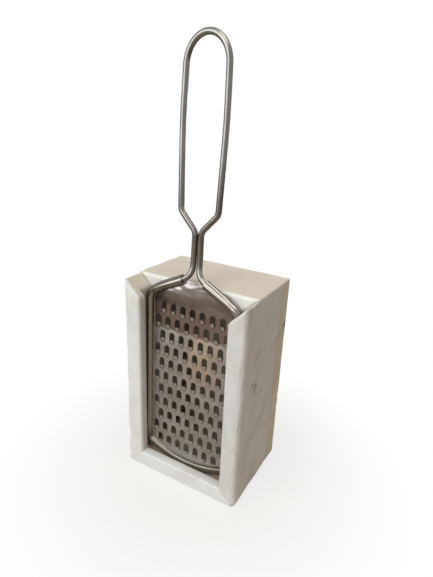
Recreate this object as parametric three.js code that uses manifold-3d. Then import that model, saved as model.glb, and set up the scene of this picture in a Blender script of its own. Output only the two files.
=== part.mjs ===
import * as THREE from 'three';
import Module from 'manifold-3d';

// Cheese grater in a marble stand, in millimetres. The stand rests on z = 0 with its open front towards -Y.

// Stand: five marble slabs glued together.
const standWidth = 93;
const standDepth = 68;
const standHeight = 152.6;
const slabThickness = 12.5;
const backThickness = 14;
const frontLip = 6.8;
const grooveDepth = 4.2;
const baseGrooveDepth = 3.2;
const topSetback = 16.4;
const mouthChamfer = 1.5;

// Grater: one bent wire with one sheet rolled round it, leaning back in the groove.
const leanDegrees = 1.3;
const wireDiameter = 4;
const sheetThickness = 0.4;
const rollClearance = 0.1;
const rollSlack = 0.7;
const sideClearance = 0.5;
const lipClearance = 0.2;
const seatClearance = 0.1;
const sheetSetback = 1.4;

// Outline of the wire, each height measured up from the bend below it.
const bottomArcRadius = 75;
const cornerRun = 5.8;
const buttGap = 0.8;
const lowerCornerRadius = 5;
const shoulderDrop = 11.2;
const shoulderRadius = 8;
const kinkInset = 10.2;
const kinkRise = 6.5;
const kinkRadius = 30;
const neckRise = 10.4;
const neckFootGap = 1;
const neckRadius = 10;
const rollMargin = 0.45;
const neckLength = 29.2;
const neckTopGap = 0.3;
const neckTopRadius = 7;
const flareRise = 12.3;
const loopFootHalf = 13.6;
const loopFootRadius = 6.5;
const bellyRise = 54;
const bellyHalf = 15.1;
const bellyRadius = 400;
const loopLength = 83;
const crownHalf = 14.3;
const crownRise = 17;
const bendRise = 2.2;
const handleSetback = 4.3;
const setbackLength = 25.5;
const handleSlope = 0.026;
const freeEdgeDrop = 4.2;
const freeEdgeHalf = 4;

// Teeth: staggered rows of slots, each with a tongue pressed forward below its opening.
const toothPitch = 7.8;
const rowPitch = 10.76;
const rowTiltDegrees = 1.4;
const toothMargin = 1.6;
const firstRow = 12.9;
const topRowMargin = 6.5;
const slotWidth = 4.2;
const openingHeight = 5.2;
const tongueHeight = 3.9;
const tongueRoom = 1;
const leastTongue = 0.8;
const tongueRise = 1.5;
const tongueOverlap = 0.25;
const cutOverrun = 1;

// Shares of a slot's half-width: how far its rounded ends reach, and how far the tongue's foot draws in.
const slotEndHeight = 0.8;
const slotEndFlat = 0.45;
const tongueTaper = 0.62;

// Share of each shoulder taken up by its own bend.
const shoulderSpan = 0.3;

const wireRadius = wireDiameter / 2;
const rollDeepInner = wireRadius + rollClearance;
const rollDeep = rollDeepInner + sheetThickness;
const rollAcrossInner = rollDeepInner + rollSlack;
const rollAcross = rollDeep + rollSlack;
const halfWidth = standWidth / 2;
const insideHalf = halfWidth - slabThickness;
const boxDepth = standDepth - backThickness;
const rimHalf = insideHalf + grooveDepth - sideClearance - rollAcross;
const axisDeep = frontLip + lipClearance + rollDeep;
const axisUp = slabThickness - baseGrooveDepth + seatClearance + rollAcross;
const bottomArcHalf = rimHalf - cornerRun;
const shoulderHeight = standHeight - axisUp - shoulderDrop;
const bendStart = shoulderHeight + bendRise;
const shoulderKink = { x: rimHalf - kinkInset, h: shoulderHeight + kinkRise, r: kinkRadius };
const neckFoot = { x: wireRadius + neckFootGap / 2, h: shoulderKink.h + neckRise, r: neckRadius };
const neckTop = { x: wireRadius + neckTopGap / 2, h: neckFoot.h + neckLength, r: neckTopRadius };
const loopFoot = { x: loopFootHalf, h: neckTop.h + flareRise, r: loopFootRadius };
const loopBelly = { x: bellyHalf, h: loopFoot.h + bellyRise, r: bellyRadius };
const crownFoot = { x: crownHalf, h: loopFoot.h + loopLength };
const plateHalf = rimHalf - rollAcross;
const longRow = Math.floor((2 * (plateHalf - toothMargin) - slotWidth) / toothPitch) + 1;
const rowCount = Math.floor((shoulderHeight - topRowMargin - firstRow) / rowPitch) + 1;

const wasm = await Module();
wasm.setup();

function signedVolume(points, triangles) {
  let total = 0;
  for (let k = 0; k < triangles.length; k += 3) {
    const [a, b, c] = [points[triangles[k]], points[triangles[k + 1]], points[triangles[k + 2]]];
    total += a[0] * (b[1] * c[2] - b[2] * c[1]);
    total += a[1] * (b[2] * c[0] - b[0] * c[2]);
    total += a[2] * (b[0] * c[1] - b[1] * c[0]);
  }
  return total / 6;
}

function outward(points, triangles) {
  if (signedVolume(points, triangles) > 0) return { points, triangles };
  const turned = [];
  for (let k = 0; k < triangles.length; k += 3) {
    turned.push(triangles[k], triangles[k + 2], triangles[k + 1]);
  }
  return { points, triangles: turned };
}

function corners(outline) {
  return outline.map(([u, v]) => new THREE.Vector2(u, v));
}

function counterClockwise(outline) {
  return THREE.ShapeUtils.isClockWise(corners(outline)) ? [...outline].reverse() : outline;
}

function capTriangles(outline) {
  return THREE.ShapeUtils.triangulateShape(corners(outline), []);
}

// A straight bar: an outline seen from the front, carried from one depth to another.
function prism(face, fromDeep, toDeep) {
  const outline = counterClockwise(face);
  const count = outline.length;
  const points = [];
  for (const [x, h] of outline) points.push([x, h, fromDeep]);
  for (const [x, h] of outline) points.push([x, h, toDeep]);
  const triangles = [];
  for (const [a, b, c] of capTriangles(outline)) {
    triangles.push(a, c, b, a + count, b + count, c + count);
  }
  for (let k = 0; k < count; k += 1) {
    const next = (k + 1) % count;
    triangles.push(k, next, next + count, k, next + count, k + count);
  }
  return outward(points, triangles);
}

function box(x0, x1, h0, h1, d0, d1) {
  return prism([[x0, h0], [x1, h0], [x1, h1], [x0, h1]], d0, d1);
}

// A section (across the path, and in depth) carried along a path lying in the grater's plane.
function sweep(face, path) {
  const section = counterClockwise(face);
  const ring = section.length;
  const points = [];
  path.forEach((at, k) => {
    const before = path[Math.max(k - 1, 0)];
    const after = path[Math.min(k + 1, path.length - 1)];
    const inDir = new THREE.Vector2(at.x - before.x, at.h - before.h);
    const outDir = new THREE.Vector2(after.x - at.x, after.h - at.h);
    if (k === 0) inDir.copy(outDir);
    if (k === path.length - 1) outDir.copy(inDir);
    const along = inDir.normalize().clone().add(outDir.normalize()).normalize();
    const stretch = 1 / Math.max(along.dot(outDir), 0.5);
    for (const [across, deep] of section) {
      points.push([at.x + along.y * across * stretch, at.h - along.x * across * stretch, at.n + deep]);
    }
  });
  const triangles = [];
  for (let k = 0; k + 1 < path.length; k += 1) {
    for (let i = 0; i < ring; i += 1) {
      const next = (i + 1) % ring;
      const a = k * ring + i;
      const b = k * ring + next;
      triangles.push(a, b, b + ring, a, b + ring, a + ring);
    }
  }
  const last = (path.length - 1) * ring;
  for (const [a, b, c] of capTriangles(section)) {
    triangles.push(a, c, b, a + last, b + last, c + last);
  }
  return outward(points, triangles);
}

function joined(list) {
  const points = [];
  const triangles = [];
  for (const part of list) {
    const start = points.length;
    points.push(...part.points);
    triangles.push(...part.triangles.map((k) => k + start));
  }
  return { points, triangles };
}

function solid(part) {
  const mesh = new wasm.Mesh({
    numProp: 3,
    vertProperties: new Float32Array(part.points.flat()),
    triVerts: new Uint32Array(part.triangles),
  });
  return new wasm.Manifold(mesh);
}

function shell(manifold) {
  const mesh = manifold.getMesh();
  const points = [];
  for (let k = 0; k < mesh.vertProperties.length; k += mesh.numProp) {
    points.push([mesh.vertProperties[k], mesh.vertProperties[k + 1], mesh.vertProperties[k + 2]]);
  }
  return { points, triangles: Array.from(mesh.triVerts) };
}

// Turns (across, up, deep) into the shared frame, tipping the piece back by the given lean.
function placed(part, lean, up, deep) {
  const c = Math.cos(lean);
  const s = Math.sin(lean);
  const positions = part.points.flatMap(([x, h, n]) => [
    x,
    deep - standDepth / 2 + h * s + n * c,
    up + h * c - n * s,
  ]);
  const index = [];
  for (let k = 0; k < part.triangles.length; k += 3) {
    index.push(part.triangles[k], part.triangles[k + 2], part.triangles[k + 1]);
  }
  const geometry = new THREE.BufferGeometry();
  geometry.setAttribute('position', new THREE.Float32BufferAttribute(positions, 3));
  geometry.setIndex(index);
  geometry.computeVertexNormals();
  return geometry;
}

function roundedLine(bends) {
  const line = [];
  bends.forEach((corner, k) => {
    const here = new THREE.Vector2(corner.x, corner.h);
    if (!corner.r || k === 0 || k === bends.length - 1) {
      line.push({ x: here.x, h: here.y });
      return;
    }
    const before = new THREE.Vector2(bends[k - 1].x, bends[k - 1].h).sub(here).normalize();
    const after = new THREE.Vector2(bends[k + 1].x, bends[k + 1].h).sub(here).normalize();
    const half = Math.acos(THREE.MathUtils.clamp(before.dot(after), -1, 1)) / 2;
    const turn = Math.PI - 2 * half;
    const middle = before.clone().add(after).normalize().multiplyScalar(corner.r / Math.sin(half)).add(here);
    const from = before.clone().multiplyScalar(corner.r / Math.tan(half)).add(here).sub(middle);
    const steps = Math.max(2, Math.ceil(turn / THREE.MathUtils.degToRad(13)));
    const sign = Math.sign(before.x * after.y - before.y * after.x);
    for (let i = 0; i <= steps; i += 1) {
      const spot = from.clone().rotateAround(new THREE.Vector2(), (-sign * turn * i) / steps).add(middle);
      line.push({ x: spot.x, h: spot.y });
    }
  });
  return line;
}

// How far the fan of the sheet, the neck and the handle are bent back out of the sheet's plane.
function setbackAt(h) {
  const rise = THREE.MathUtils.smoothstep(h, bendStart, bendStart + setbackLength);
  return handleSetback * rise + handleSlope * Math.max(0, h - bendStart - setbackLength);
}

// Right half of the wire's centre line, from the butt joint in the bottom up to the top of the handle.
function arcHeight(x) {
  return bottomArcRadius - Math.sqrt(bottomArcRadius ** 2 - x ** 2);
}

const arcSteps = 7;
const bottomCorners = [];
for (let k = 0; k <= arcSteps; k += 1) {
  const x = buttGap / 2 + ((bottomArcHalf - buttGap / 2) * k) / arcSteps;
  bottomCorners.push({ x, h: arcHeight(x) });
}
const arcSlope = bottomArcHalf / Math.sqrt(bottomArcRadius ** 2 - bottomArcHalf ** 2);
const footAt = new THREE.Vector2(neckFoot.x, neckFoot.h);
const downShoulder = new THREE.Vector2(shoulderKink.x, shoulderKink.h).sub(footAt).normalize();
const upNeck = new THREE.Vector2(neckTop.x, neckTop.h).sub(footAt).normalize();
const neckHalfAngle = Math.acos(downShoulder.dot(upNeck)) / 2;
const rollReach = neckRadius / Math.tan(neckHalfAngle) + rollMargin;
const rollStop = { x: footAt.x + downShoulder.x * rollReach, h: footAt.y + downShoulder.y * rollReach };
const shoulderSteps = 4;
const shoulderCorners = [];
for (let k = 1; k < shoulderSteps; k += 1) {
  const share = THREE.MathUtils.lerp(shoulderSpan, 1, k / shoulderSteps);
  shoulderCorners.push({
    x: THREE.MathUtils.lerp(shoulderKink.x, rollStop.x, share),
    h: THREE.MathUtils.lerp(shoulderKink.h, rollStop.h, share),
  });
}
const rimCorners = [
  ...bottomCorners,
  { x: rimHalf, h: arcHeight(bottomArcHalf) + (rimHalf - bottomArcHalf) * arcSlope, r: lowerCornerRadius },
  { x: rimHalf, h: shoulderHeight, r: shoulderRadius },
  shoulderKink,
  ...shoulderCorners,
  rollStop,
];
const neckSteps = 4;
const neckSpan = [0.25, 0.85];
const neckCorners = [];
for (let k = 1; k < neckSteps; k += 1) {
  const share = THREE.MathUtils.lerp(neckSpan[0], neckSpan[1], k / neckSteps);
  neckCorners.push({
    x: THREE.MathUtils.lerp(neckFoot.x, neckTop.x, share),
    h: THREE.MathUtils.lerp(neckFoot.h, neckTop.h, share),
  });
}
const rimLine = roundedLine(rimCorners);
const handleLine = roundedLine([rollStop, neckFoot, ...neckCorners, neckTop, loopFoot, loopBelly, crownFoot]).slice(1);
const crownSteps = 8;
const crown = [];
for (let k = 1; k <= crownSteps; k += 1) {
  const angle = (Math.PI / 2) * (k / crownSteps);
  crown.push({ x: crownHalf * Math.cos(angle), h: crownFoot.h + crownRise * Math.sin(angle) });
}
crown[crownSteps - 1].x = 0;

const withDepth = (line) => line.map(({ x, h }) => ({ x, h, n: setbackAt(h) }));
const mirrored = (line) => line.map(({ x, h }) => ({ x: -x, h })).reverse();
const rightHalf = [...rimLine, ...handleLine, ...crown];
const wirePath = withDepth([...rightHalf, ...mirrored(rightHalf.slice(0, -1))]);
const rightRim = [{ x: 0, h: 0 }, ...rimLine.slice(1)];
const rimPath = withDepth([...mirrored(rightRim.slice(1)), ...rightRim]);

// Handle and frame: one length of round wire, its two ends meeting in the bottom of the rim.
const wireSides = 12;
const wireSection = [];
for (let k = 0; k < wireSides; k += 1) {
  const angle = (2 * Math.PI * k) / wireSides;
  wireSection.push([wireRadius * Math.cos(angle), wireRadius * Math.sin(angle)]);
}
const wire = sweep(wireSection, wirePath);

// Grating sheet: flat plate, its edge rolled over the front and outside of the wire.
const rollSteps = 12;
const rollFrom = THREE.MathUtils.degToRad(50);
const rollMidDeep = rollDeepInner + sheetThickness / 2;
const rollMidAcross = rollAcrossInner + sheetThickness / 2;
const rollTo = -Math.PI - Math.asin(sheetSetback / rollMidDeep);
const rollSection = [];
for (let k = 0; k <= rollSteps; k += 1) {
  const angle = THREE.MathUtils.lerp(rollFrom, rollTo, k / rollSteps);
  rollSection.push([rollAcross * Math.cos(angle), rollDeep * Math.sin(angle)]);
}
const chordGain = 1 / Math.cos((rollFrom - rollTo) / rollSteps / 2);
for (let k = rollSteps; k >= 0; k -= 1) {
  const angle = THREE.MathUtils.lerp(rollFrom, rollTo, k / rollSteps);
  rollSection.push([rollAcrossInner * chordGain * Math.cos(angle), rollDeepInner * chordGain * Math.sin(angle)]);
}
const roll = sweep(rollSection, rimPath);

const plateInset = rollMidAcross * Math.sqrt(1 - (sheetSetback / rollMidDeep) ** 2);
const plateFront = sheetSetback - sheetThickness / 2;
const plateEdge = rimPath.map((at, k) => {
  const before = rimPath[Math.max(k - 1, 0)];
  const after = rimPath[Math.min(k + 1, rimPath.length - 1)];
  const along = new THREE.Vector2(after.x - before.x, after.h - before.h).normalize();
  return [at.x - along.y * plateInset, at.h + along.x * plateInset];
});
const freeEdgeHeight = neckFoot.h - freeEdgeDrop;
const freeEdge = [[freeEdgeHalf, freeEdgeHeight], [-freeEdgeHalf, freeEdgeHeight]];
const plate = prism([...plateEdge, ...freeEdge], plateFront, plateFront + sheetThickness);

// A tongue's length, cut short where the rolled rim comes close below it.
function tongueReach(x, h) {
  const room = h - openingHeight / 2 - arcHeight(x) - rollAcross - tongueRoom;
  return THREE.MathUtils.clamp(room, leastTongue, tongueHeight);
}

function slotOutline(x, h) {
  const half = slotWidth / 2;
  const top = h + openingHeight / 2;
  const bottom = h - openingHeight / 2 - tongueReach(x, h);
  const flat = half * slotEndFlat;
  const end = half * slotEndHeight;
  return [
    [x - half, bottom + end], [x - flat, bottom], [x + flat, bottom], [x + half, bottom + end],
    [x + half, top - end], [x + flat, top], [x - flat, top], [x - half, top - end],
  ];
}

// A pressed tongue: a half-dome open at its upper, cutting edge, blending into the plate at the slot's foot.
function tongue(x, h) {
  const acrossSteps = 3;
  const downSteps = 2;
  const edge = h - openingHeight / 2;
  const half = slotWidth / 2 + tongueOverlap;
  const front = [];
  for (let j = 0; j <= downSteps; j += 1) {
    const t = j / downSteps;
    const reach = half * (t < 1 ? 1 : tongueTaper);
    for (let i = 0; i <= acrossSteps; i += 1) {
      const u = -1 + (2 * i) / acrossSteps;
      const rise = tongueRise * (1 - u * u) * (1 - t * t);
      front.push([x + u * reach, edge - t * (tongueReach(x, h) + tongueOverlap), plateFront - rise]);
    }
  }
  const count = front.length;
  const points = [...front, ...front.map(([px, ph, pn]) => [px, ph, pn + sheetThickness])];
  const triangles = [];
  const row = acrossSteps + 1;
  for (let j = 0; j < downSteps; j += 1) {
    for (let i = 0; i < acrossSteps; i += 1) {
      const a = j * row + i;
      triangles.push(a, a + 1, a + row + 1, a, a + row + 1, a + row);
      const b = a + count;
      triangles.push(b, b + row + 1, b + 1, b, b + row, b + row + 1);
    }
  }
  const rim = [];
  for (let i = 0; i < acrossSteps; i += 1) rim.push(i);
  for (let j = 0; j < downSteps; j += 1) rim.push(j * row + acrossSteps);
  for (let i = acrossSteps; i > 0; i -= 1) rim.push(downSteps * row + i);
  for (let j = downSteps; j > 0; j -= 1) rim.push(j * row);
  rim.forEach((a, k) => {
    const b = rim[(k + 1) % rim.length];
    triangles.push(a, b + count, b, a, a + count, b + count);
  });
  return outward(points, triangles);
}

const slots = [];
const tongues = [];
const rowTilt = Math.tan(THREE.MathUtils.degToRad(rowTiltDegrees));
for (let row = 0; row < rowCount; row += 1) {
  const count = row % 2 === 0 ? longRow - 1 : longRow;
  for (let k = 0; k < count; k += 1) {
    const x = (k - (count - 1) / 2) * toothPitch;
    const h = firstRow + row * rowPitch - x * rowTilt;
    slots.push(prism(slotOutline(x, h), plateFront - cutOverrun, plateFront + sheetThickness + cutOverrun));
    tongues.push(tongue(x, h));
  }
}
const pierced = solid(plate).subtract(solid(joined(slots)));

// The fan above the teeth is bent back in narrow strips, each tipped a little more than the one below.
const fanStrips = 4;
const stripOverlap = 0.05;
const fanTop = Math.max(freeEdgeHeight, ...plateEdge.map(([, h]) => h));
let bent = pierced.trimByPlane([0, -1, 0], -bendStart);
for (let k = 0; k < fanStrips; k += 1) {
  const low = THREE.MathUtils.lerp(bendStart, fanTop, k / fanStrips);
  const high = THREE.MathUtils.lerp(bendStart, fanTop, (k + 1) / fanStrips);
  const slope = (setbackAt(high) - setbackAt(low)) / (high - low);
  const shift = setbackAt(low) - slope * low;
  const strip = pierced.trimByPlane([0, 1, 0], low - stripOverlap).trimByPlane([0, -1, 0], -high);
  bent = bent.add(strip.transform([1, 0, 0, 0, 0, 1, slope, 0, 0, 0, 1, 0, 0, 0, shift, 1]));
}
const sheet = shell(bent.add(solid(joined(tongues))).add(solid(roll)));

// Marble slabs: base, sides and top meet in mitres; a groove in base and sides takes the grater's rim.
const side = [[-halfWidth, 0], [-insideHalf, slabThickness], [-insideHalf, standHeight - slabThickness],
  [-halfWidth, standHeight]];
const mirrorX = (outline) => outline.map(([x, h]) => [-x, h]);
const grooveHalf = insideHalf + grooveDepth;
const grooveFloor = slabThickness - baseGrooveDepth;
const grooveLine = [[-grooveHalf, -cutOverrun], [cutOverrun - insideHalf, -cutOverrun],
  [cutOverrun - insideHalf, standHeight + cutOverrun], [-grooveHalf, standHeight + cutOverrun]];
const sideSlab = (outline, groove) => {
  return solid(prism(outline, 0, boxDepth)).subtract(solid(prism(groove, frontLip, topSetback)));
};
const leftSlab = sideSlab(side, grooveLine);
const rightSlab = sideSlab(mirrorX(side), mirrorX(grooveLine));
const base = [[-halfWidth, 0], [halfWidth, 0], [insideHalf, slabThickness], [-insideHalf, slabThickness]];
const baseGroove = box(-halfWidth, halfWidth, grooveFloor, slabThickness + cutOverrun, frontLip, topSetback);
const baseSlab = solid(prism(base, 0, boxDepth)).subtract(solid(baseGroove));
const top = base.map(([x, h]) => [x, standHeight - h]);
const mouthEdge = prism([
  [topSetback - cutOverrun, standHeight - mouthChamfer - cutOverrun],
  [topSetback + mouthChamfer + cutOverrun, standHeight + cutOverrun],
  [topSetback - cutOverrun, standHeight + cutOverrun],
], -halfWidth - cutOverrun, halfWidth + cutOverrun);
const acrossMouth = outward(mouthEdge.points.map(([deep, h, x]) => [x, h, deep]), mouthEdge.triangles);
const topSlab = solid(prism(top, topSetback, boxDepth)).subtract(solid(acrossMouth));
const backSlab = box(-halfWidth, halfWidth, 0, standHeight, boxDepth, standDepth);

const marble = (colour) => new THREE.MeshStandardMaterial({ color: colour, roughness: 0.45, metalness: 0 });
const steel = (colour) => new THREE.MeshStandardMaterial({ color: colour, roughness: 0.3, metalness: 1 });

const assembly = new THREE.Group();
assembly.name = 'cheese_grater';

function addPiece(name, geometry, material) {
  const mesh = new THREE.Mesh(geometry, material);
  mesh.name = name;
  assembly.add(mesh);
}

const lean = THREE.MathUtils.degToRad(leanDegrees);
addPiece('base_slab', placed(shell(baseSlab), 0, 0, 0), marble(0xd9d8d2));
addPiece('left_slab', placed(shell(leftSlab), 0, 0, 0), marble(0xdcdbd6));
addPiece('right_slab', placed(shell(rightSlab), 0, 0, 0), marble(0xd6d5d0));
addPiece('top_slab', placed(shell(topSlab), 0, 0, 0), marble(0xd3cdbf));
addPiece('back_slab', placed(backSlab, 0, 0, 0), marble(0xd0ccc2));
addPiece('wire_frame', placed(wire, lean, axisUp, axisDeep), steel(0x9a948c));
addPiece('grating_sheet', placed(sheet, lean, axisUp, axisDeep), steel(0xa8a39b));

export default assembly;
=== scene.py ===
import math

import bmesh
import bpy
from mathutils import Matrix, Vector
from mathutils import noise as chance
from mathutils.geometry import delaunay_2d_cdt


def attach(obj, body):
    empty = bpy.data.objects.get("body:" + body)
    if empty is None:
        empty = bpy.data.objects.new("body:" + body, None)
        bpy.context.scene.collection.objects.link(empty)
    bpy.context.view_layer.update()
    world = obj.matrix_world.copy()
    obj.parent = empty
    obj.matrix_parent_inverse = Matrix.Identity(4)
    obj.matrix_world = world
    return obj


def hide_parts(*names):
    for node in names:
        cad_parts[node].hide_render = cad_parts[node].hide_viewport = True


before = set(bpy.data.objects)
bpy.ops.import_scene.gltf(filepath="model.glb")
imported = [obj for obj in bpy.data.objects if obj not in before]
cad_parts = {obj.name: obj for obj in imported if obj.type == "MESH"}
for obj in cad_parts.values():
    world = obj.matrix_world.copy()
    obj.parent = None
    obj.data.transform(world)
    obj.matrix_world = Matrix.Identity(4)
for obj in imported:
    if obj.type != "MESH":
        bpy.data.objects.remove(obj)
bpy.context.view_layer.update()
MM = 0.001

# Camera: a hand-held view from the right and a little above, close enough that
# the upright edges draw together towards the table.
azimuth = math.radians(29.186)
elevation = math.radians(20.598)
roll = math.radians(2.605)
distance = 0.29732
aim = Vector((0.00835, -0.0040, 0.14773))
back = Vector((
    math.sin(azimuth) * math.cos(elevation),
    -math.cos(azimuth) * math.cos(elevation),
    math.sin(elevation),
))
level = Vector((math.cos(azimuth), math.sin(azimuth), 0.0))
upright = back.cross(level)
right = level * math.cos(roll) + upright * math.sin(roll)
up = upright * math.cos(roll) - level * math.sin(roll)
eye = aim + back * distance
lens = bpy.data.cameras.new("view")
lens.sensor_width = 36.0
lens.lens = 27.482
lens.clip_start = 0.01
camera = bpy.data.objects.new("view", lens)
camera.matrix_world = Matrix((
    (right.x, up.x, back.x, eye.x),
    (right.y, up.y, back.y, eye.y),
    (right.z, up.z, back.z, eye.z),
    (0.0, 0.0, 0.0, 1.0),
))
bpy.context.collection.objects.link(camera)
bpy.context.scene.camera = camera

# Base slab: a strip of white marble sawn about 12 mm thick, its ends cut to 45 degrees
# and a groove milled along its top for the grater's lower rim. The sawn edges are eased
# by hand on a polishing wheel.
stand_width = 93.0
stand_depth = 68.0
stand_height = 152.6
slab = 12.5
back_thickness = 14.0
front_lip = 6.8
groove_depth = 4.2
top_setback = 16.4
base_groove_depth = 3.2
joint_ease = 0.25
mouth_ease = 2.0
mouth_drop = 1.0
lip_ease = 0.7
joint_gap = 0.1
grid_step = 3.0
edge_lines = (0.25, 0.6, 1.0, 1.5, 2.1, 2.8, 3.6, 4.7)
bevel_steps = 4
swell_span = 17.0
swell_share = 0.30
chip_span = 4.5
least_chip = 0.2
chip_size = 3.4
left_front_round = 1.6
right_front_round = 4.0
left_foot_round = 2.0
right_foot_round = 4.0
right_foot_gain = 2.0
left_sill_round = 2.0
right_sill_round = 3.0
side_rear_round = 2.0
side_top_round = 1.2
rear_foot_round = 2.2
rear_top_round = 1.4
full_wear = 0.25
touching = 0.05
flush = 0.02
clear = 0.1
cut_tolerance = 0.01
sharp_angle = math.radians(40)
half = stand_width / 2
inside = half - slab
front = -stand_depth / 2
rear = stand_depth / 2
seam = rear - back_thickness


class Shade:
    """A socket in a material's node tree. Sums and products of shades add Math nodes."""

    def __init__(self, tree, socket=None):
        self.tree = tree
        self.socket = socket

    def feed(self, target, value):
        if isinstance(value, Shade):
            self.tree.links.new(value.socket, target)
        else:
            target.default_value = value

    def node(self, kind, settings=None, values=None, out=0):
        made = self.tree.nodes.new(kind)
        for name, setting in (settings or {}).items():
            setattr(made, name, setting)
        for name, value in (values or {}).items():
            self.feed(made.inputs[name], value)
        return Shade(self.tree, made.outputs[out])

    def math(self, operation, *terms):
        return self.node("ShaderNodeMath", {"operation": operation}, dict(enumerate(terms)))

    def __add__(self, other):
        return self.math("ADD", self, other)

    def __radd__(self, other):
        return self.math("ADD", other, self)

    def __sub__(self, other):
        return self.math("SUBTRACT", self, other)

    def __rsub__(self, other):
        return self.math("SUBTRACT", other, self)

    def __mul__(self, other):
        return self.math("MULTIPLY", self, other)

    def __rmul__(self, other):
        return self.math("MULTIPLY", other, self)

    def size(self):
        return self.math("ABSOLUTE", self)

    def between(self, low, high):
        """0 below low, 1 above high, and a smooth rise from one to the other."""
        settings = {"interpolation_type": "SMOOTHSTEP"}
        values = {"Value": self, "From Min": low, "From Max": high}
        return self.node("ShaderNodeMapRange", settings, values)

    def within(self, low, high):
        """The same rise for a length, with both ends in millimetres."""
        return self.between(low * MM, high * MM)

    def tint(self, dark, light):
        """The colour dark where this is 0 and light where it is 1."""
        values = {0: self, 6: dark, 7: light}
        return self.node("ShaderNodeMix", {"data_type": "RGBA"}, values, 2)


def rgb(red, green, blue):
    return (red, green, blue, 1.0)


def new_material(name):
    material = bpy.data.materials.new(name)
    material.use_nodes = True
    return material, material.node_tree.nodes["Principled BSDF"], Shade(material.node_tree)


def noise(place, scale, detail=3.0, roughness=0.55, warp=0.0):
    values = {"Vector": place, "Scale": scale, "Detail": detail, "Roughness": roughness, "Distortion": warp}
    return place.node("ShaderNodeTexNoise", {}, values)


def stretched(place, scale, turn=(0.0, 0.0, 0.0), shift=(0.0, 0.0, 0.0)):
    values = {"Vector": place, "Location": shift, "Rotation": turn, "Scale": scale}
    return place.node("ShaderNodeMapping", {}, values)


def wandering(place, scale, amount):
    """The same place pushed about by a coarse noise, so that what is drawn there has no ruled edge."""
    values = {"Vector": place, "Scale": scale, "Detail": 2.0}
    push = place.node("ShaderNodeTexNoise", {}, values, "Color")
    centred = place.node("ShaderNodeVectorMath", {"operation": "SUBTRACT"}, {0: push, 1: (0.5, 0.5, 0.5)})
    values = {0: centred, 1: (amount, amount, amount), 2: place}
    return place.node("ShaderNodeVectorMath", {"operation": "MULTIPLY_ADD"}, values)


warm_blot = rgb(0.60, 0.545, 0.485)
hollow_shade_brown = rgb(0.25, 0.205, 0.125)
raw_cream = rgb(0.72, 0.655, 0.54)
groove_tan = rgb(0.62, 0.52, 0.40)
floor_tan = rgb(0.78, 0.60, 0.43)
finger_tan = rgb(0.47, 0.40, 0.32)
front_lit_white = rgb(0.76, 0.765, 0.735)
worn_white = rgb(0.74, 0.725, 0.68)
pit_brown = rgb(0.36, 0.31, 0.24)


def streaked(colour, place, marks):
    """Dark streaks in the stone: middle, half-sizes, lean about x and y, colour and strength of each."""
    ragged = wandering(place, scale=300.0, amount=0.0055)
    for middle, size, (lean_x, lean_y), stain, strength in marks:
        values = {
            "Vector": ragged,
            "Location": Vector(middle) * MM,
            "Rotation": (math.radians(lean_x), math.radians(lean_y), 0.0),
            "Scale": Vector(size) * MM,
        }
        own = place.node("ShaderNodeMapping", {"vector_type": "TEXTURE"}, values)
        far = place.node("ShaderNodeVectorMath", {"operation": "LENGTH"}, {0: own}, "Value")
        colour = ((1 - far.between(0.0, 1.0)) * strength).tint(colour, stain)
    return colour


def soiled_and_shaded(colour, place, mottle, cut, mouth):
    """Marks of use and painted light: painted shade in the hollow, darkest low down and towards the rear;
    grease and painted shade in and near the grooves, darker and warmer towards the bottom; raw open mitres;
    fingermarks on the front lip; and the top slab's front face and edge painted whiter and cooler, a
    painted light from the front.

    From 0 to 1, cut says how raw the mitres are and mouth how strongly that front face is painted lighter.
    """
    x, y, z = (place.node("ShaderNodeSeparateXYZ", {}, {"Vector": place}, axis) for axis in "XYZ")
    aside = x.size()
    groove_front = front + front_lip
    groove_rear = front + top_setback
    groove_side = inside + groove_depth
    ceiling = stand_height - slab
    # Painted shade: the hollow behind the grater is tinted dark brown, most of all low down and towards the
    # rear.
    hollow = (1 - aside.within(inside, inside + 0.4)) * z.within(slab - 1, slab)
    hollow *= y.within(groove_rear + 0.2, groove_rear + 1.5)
    hollow *= (1 - y.within(seam + 1, seam + 2)) * (1 - z.within(ceiling + 0.1, ceiling + 1))
    low = 1 - z.within(slab + 4, slab + 34)
    deep = low.math("MAXIMUM", low, y.within(seam - 1.0, seam - 0.2))
    colour = (hollow * (0.20 + mottle * 0.15 + deep * 0.55)).tint(colour, hollow_shade_brown)
    raw = (z - aside).within(stand_height - half - 0.6, stand_height - half - 0.1)
    colour = (raw * (cut + mottle * 0.2)).tint(colour, raw_cream)
    # Grease and painted shade: the grooves are tinted tan, darker and warmer towards the bottom.
    groove = y.within(groove_front - 0.1, groove_front + 0.4) * (1 - raw)
    groove *= 1 - y.within(groove_rear - 0.4, groove_rear - 0.1)
    groove *= 1 - aside.within(groove_side + 0.1, groove_side + 0.5)
    groove *= z.within(slab - base_groove_depth - 0.5, slab - base_groove_depth - 0.1)
    dirt_and_shade = low.tint(groove_tan, floor_tan)
    colour = (groove * (0.45 + mottle * 0.2 + low * 0.2)).tint(colour, dirt_and_shade)
    stain = (1 - aside.within(inside + 0.1, inside + 0.5)) * (1 - raw)
    stain *= z.within(slab - 0.4, slab - 0.1)
    stain *= y.within(front + 0.8, groove_front)
    stain *= 1 - y.within(groove_rear, groove_rear + 1.0)
    colour = (stain * (0.30 + mottle * 0.2)).tint(colour, finger_tan)
    # Painted light: the top slab's front face and edge are tinted whiter and cooler than its top, as if lit
    # from the front.
    front_lit = 1 - y.within(groove_rear + 1.0, groove_rear + 3.0)
    return (front_lit * mouth).tint(colour, front_lit_white)


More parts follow.
